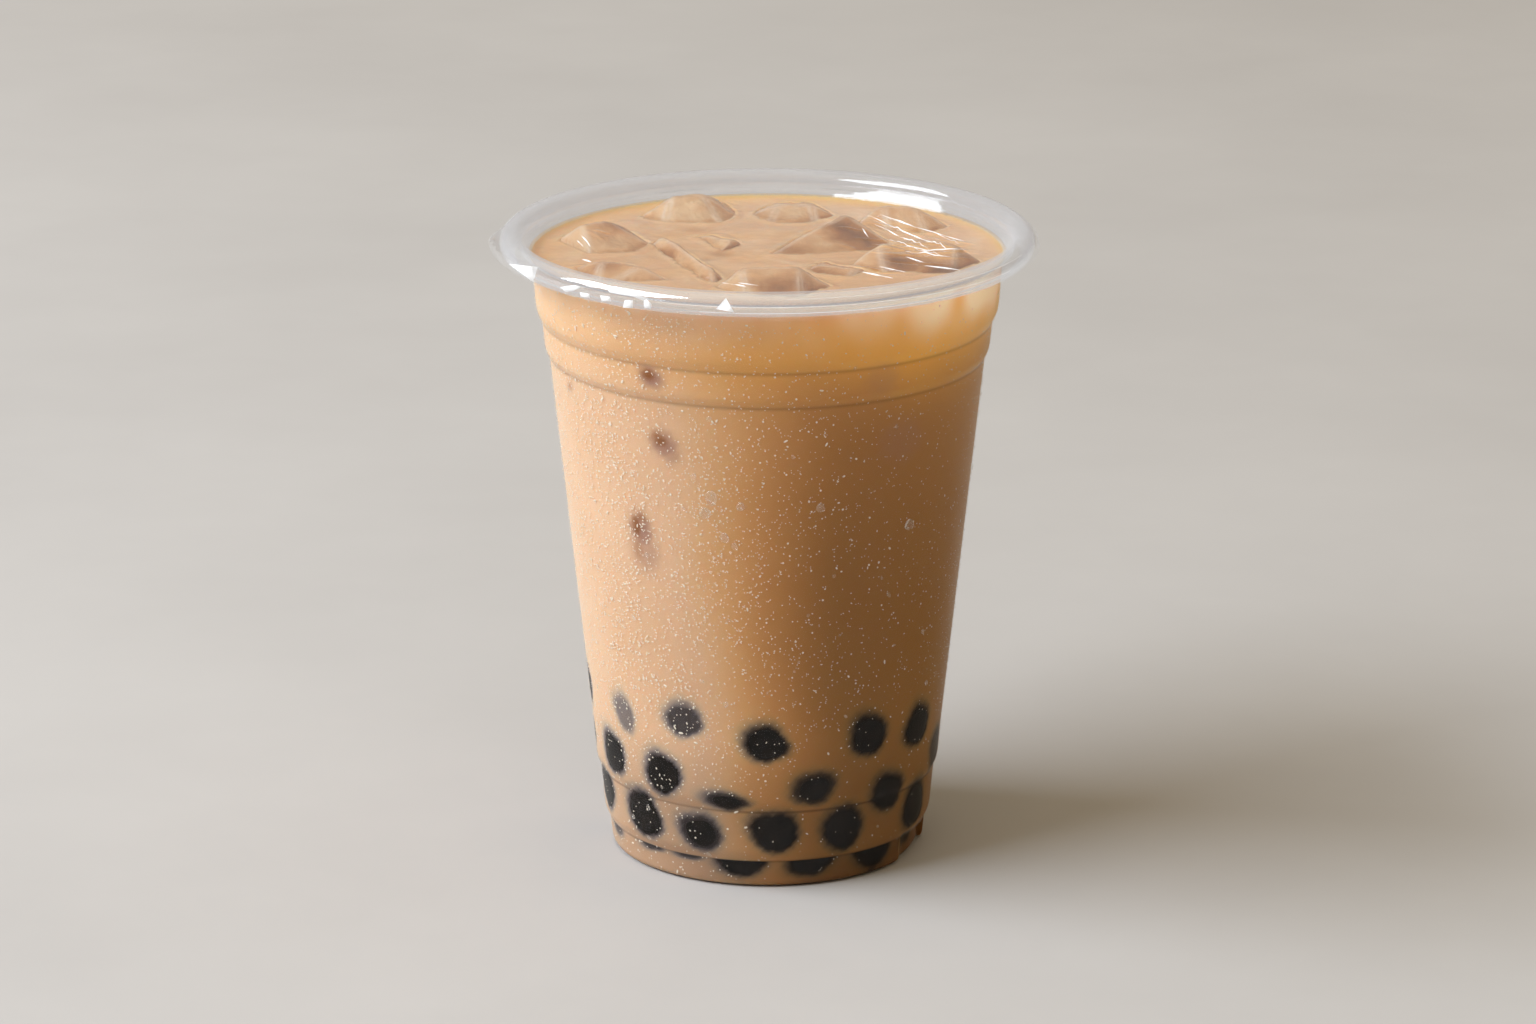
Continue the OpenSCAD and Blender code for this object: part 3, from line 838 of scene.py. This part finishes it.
def film_height(x, y):
    r = math.hypot(x, y)
    fade = max(0.0, min(1.0, (43.0 - r) / 5.0))
    z = 0.10 * noise.noise(Vector((x * 0.055, y * 0.055, 1.0))) + 0.03 * noise.noise(Vector((x * 0.2, y * 0.12, 5.0)))
    z -= 0.22 * math.exp(-(((x - 26) / 12) ** 2 + ((y + 12) / 12) ** 2))
    for x0, y0, x1, y1, amp, wid in CREASES:
        dx, dy = x1 - x0, y1 - y0
        ln = math.hypot(dx, dy)
        px, py = x - x0, y - y0
        t = (px * dx + py * dy) / ln ** 2
        if t < -0.1 or t > 1.1:
            continue
        side = (px * dy - py * dx) / ln
        side += 0.45 * noise.noise(Vector((t * 3.0, x0, y0)))
        if abs(side) > 2.2:
            continue
        tt = max(0.0, min(1.0, t))
        z += amp * math.sin(math.pi * tt) ** 0.7 * math.exp(-(side / wid) ** 2) if 0 < tt < 1 else 0
    return fade * z


N_F = 480
f_az = np.arange(N_F) * 360.0 / N_F - 180.0
R_LAND = BEAD_X
edge2 = [(R_LAND * math.sin(math.radians(a)), -R_LAND * math.cos(math.radians(a))) for a in f_az]
fpts = []


def grid_points(step, keep):
    rows = int(2 * R_LAND / (step * 0.866)) + 2
    for j in range(rows):
        y = -R_LAND + j * step * 0.866
        for i in range(int(2 * R_LAND / step) + 2):
            x = -R_LAND + i * step + (step / 2 if j % 2 else 0)
            if math.hypot(x, y) < R_LAND - 0.6 and keep(x, y):
                fpts.append((x, y))


def creased(x, y):
    return (10 < x < 40 and -35 < y < 13) or (-34 < x < -26 and -10 < y < 3)


grid_points(0.26, creased)
grid_points(1.3, lambda x, y: not creased(x, y))
out = delaunay_2d_cdt([Vector(p) for p in edge2] + [Vector(p) for p in fpts], [(i, (i + 1) % N_F) for i in range(N_F)], [], 0, 1e-6)
fv, ff, lookup = [], [], {}
ring0 = [None] * N_F
for n, p in enumerate(out[0]):
    src = out[3][n]
    lookup[n] = len(fv)
    if src and min(src) < N_F:
        ring0[min(src)] = len(fv)
        fv.append((p.x, p.y, FILM_Z))
    else:
        fv.append((p.x, p.y, FILM_Z + film_height(p.x, p.y)))
for f in out[2]:
    g = [lookup[i] for i in f]
    a, b, c = (out[0][i] for i in f)
    if (b - a).cross(c - a) < 0:
        g.reverse()
    ff.append(tuple(g))


def bump_at(a, centre, left, right):
    """1 at centre, falling to 0 over left and right degrees."""
    d = (a - centre + 180) % 360 - 180
    t = -d / left if d < 0 else d / right
    return max(0.0, 1 - t)


def skirt(a):
    """How far the skirt stands off its bead, and the angle it ends at."""
    corner = max(bump_at(a, -91, 7, 30), 0.55 * bump_at(a, 97, 26, 8), 0.7 * bump_at(a, 176, 10, 22), 0.5 * bump_at(a, -138, 18, 8))
    tatter = 0.5 + 0.5 * noise.noise(Vector((a * 0.35, 2.0, 0.0)))
    ragged = 0.35 * max(bump_at(a, 80, 26, 24), 0.25) * (0.5 + 0.5 * noise.noise(Vector((a * 1.1, 7.0, 0.0))))
    stand = 0.10 + 0.18 * tatter + 1.75 * corner ** 1.2 + ragged
    end = -52 + 10 * tatter + 42 * corner + 18 * bump_at(a, 80, 26, 24)
    return stand, end


M = 13
prev = ring0
for j in range(1, M + 1):
    t = j / M
    cur = []
    for i in range(N_F):
        a = f_az[i]
        stand, end = skirt(a)
        th = math.radians(90 + (end - 90) * t)
        off = 0.05 + stand * t ** 2.2
        pleat = 0.05 * math.sin(math.radians(a) * 61 + 3 * noise.noise(Vector((a * 0.05, 0, 4.0)))) * t ** 3
        rr = BEAD_R + off + pleat
        rr += 0.05 * noise.noise(Vector((a * 0.42, t * 4.0, 8.0))) * min(1.0, 6.0 * t) * bump_at(a, -42, 40, 40)
        z = BEAD_Z + rr * math.sin(th)
        z = min(z, FILM_Z)
        r = BEAD_X + rr * math.cos(th)
        ar = math.radians(a)
        cur.append(len(fv))
        fv.append((r * math.sin(ar), -r * math.cos(ar), z))
    for i in range(N_F):
        k = (i + 1) % N_F
        ff.append((prev[k], prev[i], cur[i], cur[k]))
    prev = cur
# folds of the trimmed edge that stand off the bead, whitened and glowing as painted highlights: corners, mm
FOLDS = [
    [(-44.92, -21.32, 112.94), (-39.76, -24.30, 113.16), (-40.61, -25.62, 110.82)],
    [(-8.71, -46.73, 111.53), (-7.01, -46.38, 113.37), (-5.64, -48.70, 111.47)],
]
# painted highlights, whitened glowing patches that lie on the skirt: corners as degrees and height
TABS = [
    [(-42.0, 111.6), (-39.3, 111.7), (-39.3, 111.0), (-41.7, 110.8)], [(-36.5, 111.8), (-34.1, 111.9), (-33.7, 111.1), (-36.1, 110.8)],
    [(-30.4, 111.7), (-28.5, 111.9), (-28.6, 110.5), (-30.9, 110.3)], [(-26.0, 112.0), (-25.3, 112.4), (-24.2, 111.6), (-24.4, 110.8), (-25.9, 110.8)],
    [(-34.5, 113.0), (-27.8, 113.2), (-25.3, 112.6), (-25.8, 112.0), (-28.3, 112.5), (-34.1, 112.6)],
    [(-48.0, 111.6), (-43.7, 112.6), (-41.5, 112.6), (-43.8, 111.6), (-46.2, 111.0)],
]
# painted highlights on sharp pinched creases, as narrow glowing strips: x0, y0, x1, y1, width
PINCHES = [
    (18.0, 9.6, 32.8, -16.0, 0.30), (20.2, 10.4, 33.8, -10.9, 0.22), (19.2, 2.9, 28.5, -14.5, 0.24), (23.3, -12.4, 34.5, -16.0, 0.30),
    (24.1, -16.0, 31.8, -20.2, 0.22), (16.3, -31.5, 21.6, -35.6, 0.34), (19.5, -27.3, 23.7, -31.5, 0.20), (27.3, -26.6, 33.2, -30.1, 0.32),
    (22.8, 6.7, 25.4, 2.2, 0.42), (-32.7, -5.4, -31.0, -13.5, 0.42), (-33.7, -8.8, -32.1, -13.1, 0.34), (-32.2, -22.5, -30.3, -24.2, 0.34),
    (-7.7, -38.7, -3.8, -41.6, 0.36), (-5.0, -38.9, -1.6, -40.6, 0.26), (16.8, 0.0, 17.8, -5.9, 0.30), (24.0, -20.2, 27.3, -24.5, 0.26),
    (21.5, -8.2, 30.5, -19.5, 0.18), (26.0, 1.5, 34.5, -9.0, 0.18),
]
# painted highlights, thin glowing strips along the rolled rim: from and to degrees, tilt on the bead, width
BEAD_LINES = [(-22, 62, 2, 0.06), (-14, 48, -24, 0.045), (4, 70, 34, 0.045)]


def ribbon(line, widths, ups):
    """A narrow standing strip along a line: a painted highlight, such as the bright side of a crease."""
    b0 = len(fv)
    for p, w, up in zip(line, widths, ups):
        fv.append(tuple(p - up * (0.5 * w)))
        fv.append(tuple(p + up * (0.5 * w)))
    for q in range(len(line) - 1):
        ff.append((b0 + 2 * q, b0 + 2 * q + 2, b0 + 2 * q + 3, b0 + 2 * q + 1))


def pinch(x0, y0, x1, y1, width):
    length = math.hypot(x1 - x0, y1 - y0)
    count = max(6, int(length / 0.4))
    phase = x0 * 0.7 + y0
    dx, dy = (x1 - x0) / length, (y1 - y0) / length
    back = Vector((-dy, dx, 0)) if dx > 0 else Vector((dy, -dx, 0))
    up = (back * 0.5 + Vector((0, 0, 0.86))).normalized()
    line, widths = [], []
    for q in range(count + 1):
        t = q / count
        side = 0.55 * noise.noise(Vector((t * length * 0.14 + phase, 4.0, 0.0)))
        px, py = x0 + (x1 - x0) * t - dy * side, y0 + (y1 - y0) * t + dx * side
        broken = max(0.0, min(1.0, 0.72 + 1.9 * noise.noise(Vector((t * length * 0.33 + phase, 1.0, 0.0)))))
        line.append(Vector((px, py, FILM_Z + film_height(px, py) + 0.06)))
        widths.append(0.72 * width * math.sin(math.pi * t) ** 0.8 * broken + 0.008)
    ribbon(line, widths, [up] * len(line))


def bead_line(az0, az1, tilt, width):
    """A painted highlight: a thin glowing strip along the rolled rim."""
    line, widths, ups = [], [], []
    count = int((az1 - az0) / 1.2)
    c, s = math.cos(math.radians(tilt)), math.sin(math.radians(tilt))
    for q in range(count + 1):
        a = math.radians(az0 + (az1 - az0) * q / count)
        rr = BEAD_R + 0.36 + 0.03 * noise.noise(Vector((a * 9, tilt, 0)))
        r = BEAD_X + rr * c
        line.append(Vector((r * math.sin(a), -r * math.cos(a), BEAD_Z + rr * s)))
        ups.append(Vector((-s * math.sin(a), s * math.cos(a), c)))
        widths.append(width * math.sin(math.pi * q / count) ** 0.6 * (0.8 + 0.8 * noise.noise(Vector((a * 14, tilt, 3)))) + 0.01)
    ribbon(line, widths, ups)


plain_faces = len(ff)
for line_at in PINCHES:
    pinch(*line_at)
for arc in BEAD_LINES:
    bead_line(*arc)
for fold in FOLDS + [[tuple(at(a, np.array(48.05), z)) for a, z in tab] for tab in TABS]:
    b0 = len(fv)
    fv.extend(fold)
    ff.append(tuple(range(b0, b0 + len(fold)))[::-1])
film = mesh_object("seal_film_sheet", fv, ff, [FILM, PAINTED_GLINT], face_mat=[0 if k < plain_faces else 1 for k in range(len(ff))])
sol = film.modifiers.new("thickness", "SOLIDIFY")
sol.thickness = 0.05 * MM
sol.offset = 0.0

# ---------------------------------------------------------------- condensation
def wall_frame(az, z):
    """Point on the outside of the wall, with its tangent, up and outward directions."""
    a = math.radians(az)
    r = float(wall_r(z))
    slope = (float(wall_r(z + 0.1)) - float(wall_r(z - 0.1))) / 0.2
    p = np.array([r * math.sin(a), -r * math.cos(a), z])
    e = np.array([math.cos(a), math.sin(a), 0.0])
    u = np.array([slope * math.sin(a), -slope * math.cos(a), 1.0])
    u /= np.linalg.norm(u)
    n = np.cross(e, u)
    return p, e, u, n


def dewy(az, z):
    """How thick the condensation lies, 0 to 1."""
    az = (az + 180) % 360 - 180
    side = 0.18 + 0.82 * math.exp(-((az + 40) / 46.0) ** 2)
    if abs(az) > 95:
        side = 0.62
    low = 0.24 + 0.76 / (1 + math.exp(-(z - 24) / 4.0))
    high = 1.0 if z < 90 else 0.55 + 0.45 * math.exp(-(z - 90) / 6.0)
    patch = 0.72 + 0.5 * noise.noise(Vector((az * 0.05, z * 0.06, 2.0)))
    return min(1.0, side * low * high * patch)


mist_v, mist_f = [], []
count, tries = 0, 0
while count < 15500 and tries < 120000:
    tries += 1
    az, z = float(RNG.uniform(-180, 180)), float(RNG.uniform(1.2, 108.0))
    if RNG.random() > dewy(az, z) * float(wall_r(z)) / 42.0:
        continue
    # the specks stand out more over a dark pearl, so they are thinned there
    if z < 36 and RNG.random() < 0.55 and any(
            math.hypot(math.radians((az - q[0] + 180) % 360 - 180) * 31 / q[2], (z - q[1]) / q[3]) < 1.15 for q in PEARLS):
        continue
    p, e, u, n = wall_frame(az, z)
    if 58 < az < 85 and z < 5.3:
        continue
    size = (0.068 + 0.040 * RNG.random()) * (1 + 0.46 * math.exp(-((az + 48) / 34.0) ** 2)) + (0.10 * RNG.random() if RNG.random() < 0.15 else 0)
    lengthen = float(RNG.choice([1.0, 1.25, 1.7, 2.3], p=[0.52, 0.28, 0.14, 0.06]))
    turn = math.radians(float(RNG.uniform(-90, 90)))
    d1 = math.cos(turn) * e + math.sin(turn) * u
    d2 = -math.sin(turn) * e + math.cos(turn) * u
    b0 = len(mist_v)
    for q in range(6):
        ph = 2 * math.pi * q / 6
        mist_v.append(p + d1 * (size * lengthen * math.cos(ph)) + d2 * (size * math.sin(ph)) + n * 0.01)
    mist_v.append(p + n * (size * 0.38 + 0.015))
    mist_v.append(p - n * 0.05)
    for q in range(6):
        w = (q + 1) % 6
        mist_f.append((b0 + q, b0 + w, b0 + 6))
        mist_f.append((b0 + w, b0 + q, b0 + 7))
    count += 1
mist = mesh_object("condensation_mist", np.array(mist_v), mist_f, [MIST], smooth=False)

drop_v, drop_f = [], []
chosen = [(-15.2, 74.8, 1.15), (-17.1, 71.9, 1.05), (-7.2, 73.5, 0.8), (-11.8, 67.5, 0.85), (43.1, 67.2, 1.1), (14.5, 73.0, 0.75),
          (-9.0, 66.0, 0.6), (-20.0, 78.5, 0.55)]
while len(chosen) < 230:
    az, z = float(RNG.uniform(-180, 180)), float(RNG.uniform(6, 107))
    if RNG.random() > dewy(az, z):
        continue
    chosen.append((az, z, float(0.22 + 0.26 * RNG.random() ** 2)))
for az, z, size in chosen:
    p, e, u, n = wall_frame(az, z)
    turn = math.radians(float(RNG.normal(-70, 20)))
    lengthen = 1.0 + 0.35 * RNG.random()
    d1 = math.cos(turn) * e + math.sin(turn) * u
    d2 = -math.sin(turn) * e + math.cos(turn) * u
    b0 = len(drop_v)
    S, T = 14, 5
    wob = RNG.uniform(0, 2 * math.pi, 2)
    for j in range(T):
        th = (math.pi / 2) * j / T
        for q in range(S):
            ph = 2 * math.pi * q / S
            m = size * math.cos(th) * (1 + 0.07 * math.cos(2 * ph + wob[0]) + 0.05 * math.cos(3 * ph + wob[1]))
            drop_v.append(p + d1 * (m * lengthen * math.cos(ph)) + d2 * (m * math.sin(ph)) + n * (size * 0.42 * math.sin(th) + 0.01))
    drop_v.append(p + n * (size * 0.42 + 0.01))
    drop_v.append(p - n * 0.05)
    apex, under = b0 + S * T, b0 + S * T + 1
    for j in range(T - 1):
        for q in range(S):
            w = (q + 1) % S
            drop_f.append((b0 + j * S + q, b0 + j * S + w, b0 + (j + 1) * S + w, b0 + (j + 1) * S + q))
    for q in range(S):
        w = (q + 1) % S
        drop_f.append((b0 + (T - 1) * S + q, b0 + (T - 1) * S + w, apex))
        drop_f.append((b0 + w, b0 + q, under))
drops = mesh_object("condensation_drops", np.array(drop_v), drop_f, [DROP])

# ---------------------------------------------------------------- pieces
for ob, slot in ((drink, "milk_tea"), (pearls, "milk_tea"), (ice, "milk_tea"), (film, "film"), (mist, "cup_plastic"), (drops, "cup_plastic")):
    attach(ob, "root")
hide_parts("milk_tea")
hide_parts("seal_film")

# ---------------------------------------------------------------- stage, light, camera
k = Nodes("floor_look")
fl = k.noise(5.0, 5.0, 0.6)
fcol = k.ramp(fl, [(0.3, (0.498, 0.486, 0.481)), (0.7, (0.557, 0.546, 0.541))])
p = k.add("ShaderNodeBsdfPrincipled", Roughness=0.85)
k.link(fcol, p.inputs["Base Color"])
k.link(p.outputs[0], k.out.inputs[0])
floor = mesh_object("floor", [(-4000, -4000, 0), (4000, -4000, 0), (4000, 4000, 0), (-4000, 4000, 0)], [(0, 1, 2, 3)], [k.m], smooth=False)

scene = bpy.context.scene
world = bpy.data.worlds.new("studio")
scene.world = world
world.use_nodes = True
# a warm room: bright overhead, dark towards the horizon
tree = world.node_tree
bg = tree.nodes["Background"]
split = tree.nodes.new("ShaderNodeSeparateXYZ")
tree.links.new(tree.nodes.new("ShaderNodeTexCoord").outputs["Generated"], split.inputs[0])
power = tree.nodes.new("ShaderNodeMath")
power.operation = "POWER"
clip = tree.nodes.new("ShaderNodeMath")
clip.operation = "MAXIMUM"
clip.inputs[1].default_value = 0.0
tree.links.new(split.outputs[2], clip.inputs[0])
tree.links.new(clip.outputs[0], power.inputs[0])
power.inputs[1].default_value = 1.7
sky = tree.nodes.new("ShaderNodeMix")
sky.data_type = "RGBA"
sky.inputs[6].default_value = (0.12, 0.060, 0.03, 1)
sky.inputs[7].default_value = (0.82, 0.72, 0.52, 1)
tree.links.new(power.outputs[0], sky.inputs[0])
# beyond the floor's edge the views from low down see a plain pale wall
wall = tree.nodes.new("ShaderNodeMix")
wall.data_type = "RGBA"
wall.inputs[7].default_value = (0.50, 0.485, 0.465, 1)
tree.links.new(tree.nodes.new("ShaderNodeLightPath").outputs["Is Camera Ray"], wall.inputs[0])
tree.links.new(sky.outputs[2], wall.inputs[6])
tree.links.new(wall.outputs[2], bg.inputs[0])
bg.inputs[1].default_value = 1.0


def area(name, az, el, dist, size, power, colour, target=(0, 0, 0.06)):
    a, e = math.radians(az), math.radians(el)
    d = Vector((math.sin(a) * math.cos(e), -math.cos(a) * math.cos(e), math.sin(e)))
    light = bpy.data.lights.new(name, "AREA")
    light.shape = "RECTANGLE"
    light.size, light.size_y = size
    light.energy = power
    light.color = colour
    ob = bpy.data.objects.new(name, light)
    scene.collection.objects.link(ob)
    ob.location = Vector(target) + d * dist
    ob.rotation_euler = (-d).to_track_quat("-Z", "Y").to_euler()
    return ob


area("key", -76.3, 40.8, 2.116, (1.90, 1.00), 62.0, (0.848, 0.915, 1.0))

cam = bpy.data.cameras.new("camera")
cam.lens = 135.9
cam.sensor_width = 36.0
cam.sensor_fit = "HORIZONTAL"
cam.clip_start = 0.05
cam.clip_end = 20
cam_ob = bpy.data.objects.new("camera", cam)
scene.collection.objects.link(cam_ob)
cam_ob.location = (0.00012, -0.9994, 0.3619)
cam_ob.rotation_euler = (math.radians(90 - 16.73), 0, 0)
scene.camera = cam_ob
scene.view_settings.view_transform = "Standard"
